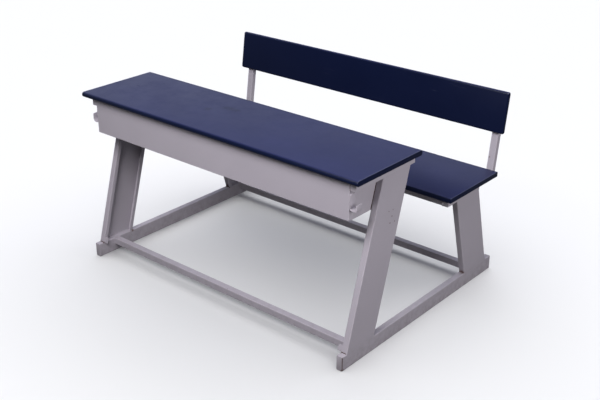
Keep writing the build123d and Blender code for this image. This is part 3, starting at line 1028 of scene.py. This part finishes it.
    def shadow_gap_lines(self, side_name, side, inner, outer, steel):
        """Dark rust-coloured lines of painted shadow in the narrow gaps beside the front caps, along the
        desk legs' front edges and at the legs' feet.
        """
        cap_low, cap_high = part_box(f"{side_name}_desk_rail_front_cap")
        plate_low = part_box(f"{side_name}_box_end_plate")[0]
        leg_low, leg_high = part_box(f"{side_name}_desk_leg")
        lean = (leg_high.y - leg_low.y - steel.leg_web) / (leg_high.z - leg_low.z)
        low_y, high_y = (leg_low.y + lean * (z - leg_low.z) for z in (plate_low.z, leg_high.z))
        foot_z = leg_low.z + steel.gap_shadow
        beads = [
            ((inner, cap_low.y, cap_low.z), (inner, cap_low.y, cap_high.z - steel.gap_shadow)),
            ((inner, low_y, plate_low.z), (inner, high_y, leg_high.z)),
        ]
        for leg in ("desk_leg", "seat_leg"):
            foot_y = leg_ends(side_name, leg, steel.leg_web)[0][0]
            beads.append(
                (
                    (inner + side * steel.gap_shadow, foot_y, foot_z),
                    (outer - side * steel.tube_corner, foot_y, foot_z),
                )
            )
        self.lay(f"{side_name}_shadow_gap_lines", beads, (), steel, "rust_and_gap_shadow", steel.gap_shadow)


# ---------------------------------------------------------------------- screws


class SCHOOLDESK_OT_screws(bpy.types.Operator):
    """Make the pan-head screws with their cross recesses"""

    bl_idname = "school_desk.screws"
    bl_label = "Screws"

    def execute(self, context):
        steel = context.scene.desk_steel
        lean_back = Matrix.Rotation(-(pi / 2 + context.scene.desk_boards.lean), 4, "X")
        upright = Matrix.Identity(4)
        head = self.make_head(steel)
        for node, turn in (
            ("desk_top_screws", upright),
            ("seat_screws", upright),
            ("backrest_screws", lean_back),
        ):
            bm = bmesh.new()
            for middle, reach in self.screw_places(node, turn):
                screw = bmesh.new()
                screw.from_mesh(head)
                shank = reach - steel.screw_head_height
                bmesh.ops.create_cone(
                    screw,
                    cap_ends=True,
                    segments=12,
                    radius1=steel.screw_head / 4,
                    radius2=steel.screw_head / 4,
                    depth=shank,
                    matrix=Matrix.Translation(Z * (reach - shank / 2)),
                )
                join(bm, screw, Matrix.Translation(middle) @ turn)
            finish_piece(bm, f"{node}_zinc", ["zinc_plating"], [node])
        bpy.data.meshes.remove(head)
        return {"FINISHED"}

    def make_head(self, steel):
        """A domed head that faces down from the origin, with a cross cut out of it."""
        radius, height = steel.screw_head / 2, steel.screw_head_height
        dome_round = 0.6 * height
        arm, arm_width, depth = 0.55 * radius, 0.24 * radius, 0.5 * height
        dome = bmesh.new()
        verts = bmesh.ops.create_cone(
            dome,
            cap_ends=True,
            segments=24,
            radius1=radius,
            radius2=radius,
            depth=height,
            matrix=Matrix.Translation(Z * height / 2),
        )["verts"]
        rim = edges_of(verts, lambda middle, way: middle.z < height / 4 and abs(way.z) < 0.1)
        round_off(dome, rim, dome_round, segments=5)
        cross = bmesh.new()
        for reach in (Vector((arm, arm_width / 2, depth)), Vector((arm_width / 2, arm, depth))):
            add_block(cross, -reach, reach)
        return cut_away(dome, cross)

    def screw_places(self, node, turn):
        """Each screw's head face and its reach: every screw is one loose part of the node's mesh."""
        bm = bmesh.new()
        bm.from_mesh(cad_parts[node].data)
        bmesh.ops.remove_doubles(bm, verts=bm.verts, dist=10 * MERGE)
        bmesh.ops.transform(bm, matrix=turn.inverted(), verts=bm.verts)
        left = set(bm.verts)
        places = []
        while left:
            island, todo = [], [left.pop()]
            while todo:
                vert = todo.pop()
                island.append(vert.co)
                near = {edge.other_vert(vert) for edge in vert.link_edges} & left
                left -= near
                todo += near
            low = Vector([min(place[i] for place in island) for i in range(3)])
            high = Vector([max(place[i] for place in island) for i in range(3)])
            middle = Vector(((low.x + high.x) / 2, (low.y + high.y) / 2, low.z))
            places.append((turn @ middle, high.z - low.z))
        bm.free()
        return sorted(places, key=lambda item: tuple(item[0]))


# ---------------------------------------------------------------------- stage


class SCHOOLDESK_OT_stage(bpy.types.Operator):
    """Make the pale floor, the soft light and the camera"""

    bl_idname = "school_desk.stage"
    bl_label = "Stage"

    def execute(self, context):
        stage = context.scene.desk_stage
        bm = bmesh.new()
        bmesh.ops.create_grid(bm, x_segments=1, y_segments=1, size=stage.floor_size / 2)
        mesh = bpy.data.meshes.new("floor")
        bm.to_mesh(mesh)
        bm.free()
        floor = bpy.data.objects.new("floor", mesh)
        context.scene.collection.objects.link(floor)
        _, shader = start_material("floor_paper")
        shader.inputs["Base Color"].default_value = (*stage.floor_colour, 1.0)
        shader.inputs["Roughness"].default_value = 0.9
        mesh.materials.append(bpy.data.materials["floor_paper"])
        floor.visible_diffuse = floor.visible_glossy = floor.visible_shadow = False

        only_floor = bpy.data.collections.new("floor_light_group")
        only_floor.objects.link(floor)
        no_floor = bpy.data.collections.new("softbox_group")
        no_floor.objects.link(floor)
        no_floor.collection_objects[0].light_linking.link_state = "EXCLUDE"
        for name, place, size, power, mirrored in SOFTBOXES:
            lamp = bpy.data.lights.new(name, "AREA")
            lamp.shape, lamp.size, lamp.energy = "DISK", size, power
            softbox = self.hang(context, lamp, Vector(place), no_floor)
            softbox.visible_glossy = mirrored
            away = Vector(place) - Vector(SOFTBOX_AIM)
            softbox.rotation_euler = away.to_track_quat("Z", "Y").to_euler()
        sky = bpy.data.lights.new("floor_light", "SUN")
        sky.energy, sky.angle = stage.floor_light, stage.floor_light_angle
        self.hang(context, sky, Z, only_floor)
        self.make_world(context, stage)

        lens = bpy.data.cameras.new("camera")
        lens.lens, lens.sensor_width = stage.camera_lens, stage.camera_sensor
        camera = bpy.data.objects.new("camera", lens)
        context.scene.collection.objects.link(camera)
        camera.location = stage.camera_place
        camera.rotation_euler = (pi / 2 - stage.camera_drop, 0.0, stage.camera_turn)
        context.scene.camera = camera
        context.scene.view_settings.view_transform = "Standard"
        return {"FINISHED"}

    def hang(self, context, lamp, place, receivers):
        """Hangs a lamp that only lights what its group says, and that the camera doesn't see."""
        made = bpy.data.objects.new(lamp.name, lamp)
        context.scene.collection.objects.link(made)
        made.location = place
        made.light_linking.receiver_collection = receivers
        made.visible_camera = False
        return made

    def make_world(self, context, stage):
        """A bright wall behind the object, dark above and in front, and pale to the camera."""
        world = bpy.data.worlds.new("studio")
        world.use_nodes = True
        context.scene.world = world
        tree = world.node_tree
        way = add(tree, "ShaderNodeTexCoord").outputs["Generated"]
        height = add(tree, "ShaderNodeSeparateXYZ", None, {0: way}).outputs["Z"]
        behind = (-sin(stage.camera_turn), cos(stage.camera_turn), 0.0)
        facing = add(tree, "ShaderNodeVectorMath", {"operation": "DOT_PRODUCT"}, {0: way, 1: behind})
        width = ramp(tree, facing.outputs["Value"], *WALL_SIDES)
        band = fall(tree, height, *map(sin, WALL_TOP))
        above = maths(tree, "GREATER_THAN", height, 0.0)
        wall = product(tree, above, width, band, stage.wall_light)
        below = product(tree, maths(tree, "SUBTRACT", 1.0, above), stage.low_light)
        lit = maths(tree, "ADD", wall, below)
        seen = add(tree, "ShaderNodeLightPath").outputs["Is Camera Ray"]
        unseen = maths(tree, "SUBTRACT", 1.0, seen)
        strength = maths(tree, "ADD", product(tree, seen, stage.backdrop), product(tree, unseen, lit))
        tint = mix_colour(tree, product(tree, unseen, above), (1.0, 1.0, 1.0), stage.wall_colour)
        background = tree.nodes["Background"]
        tree.links.new(tint, background.inputs["Color"])
        tree.links.new(strength, background.inputs["Strength"])


# ---------------------------------------------------------------------- panel and main

OPERATORS = (
    SCHOOLDESK_OT_flat_boards,
    SCHOOLDESK_OT_backrest,
    SCHOOLDESK_OT_paint_frame,
    SCHOOLDESK_OT_rail_caps,
    SCHOOLDESK_OT_bag_hooks,
    SCHOOLDESK_OT_welds,
    SCHOOLDESK_OT_screws,
    SCHOOLDESK_OT_stage,
)


class SCHOOLDESK_PT_pieces(bpy.types.Panel):
    """Lists every piece that can be made"""

    bl_idname = "SCHOOLDESK_PT_pieces"
    bl_label = "School Desk"
    bl_space_type = "VIEW_3D"
    bl_region_type = "UI"
    bl_category = "School Desk"

    def draw(self, context):
        for operator in OPERATORS:
            self.layout.operator(operator.bl_idname)


SETTINGS = {
    "desk_boards": BoardSettings,
    "desk_steel": SteelSettings,
    "desk_stage": StageSettings,
}
CLASSES = (*SETTINGS.values(), *OPERATORS, SCHOOLDESK_PT_pieces)


def register():
    """Adds the settings, the operators and the panel."""
    for item in CLASSES:
        bpy.utils.register_class(item)
    for name, group in SETTINGS.items():
        setattr(bpy.types.Scene, name, PointerProperty(type=group))


def unregister():
    """Takes them away again."""
    for name in SETTINGS:
        delattr(bpy.types.Scene, name)
    for item in reversed(CLASSES):
        bpy.utils.unregister_class(item)


def main():
    """Makes every piece and the stage."""
    register()
    make_groups()
    make_lacquer()
    make_paint("grey_steel_paint", speck_amount=0.03, wear_amount=0.42)
    make_paint("weld_paint", speck_amount=0.12, wear_amount=0.5)
    make_rust_and_gap_shadow()
    make_zinc()
    for operator in OPERATORS:
        group, name = operator.bl_idname.split(".")
        getattr(getattr(bpy.ops, group), name)()


if __name__ == "__main__":
    main()
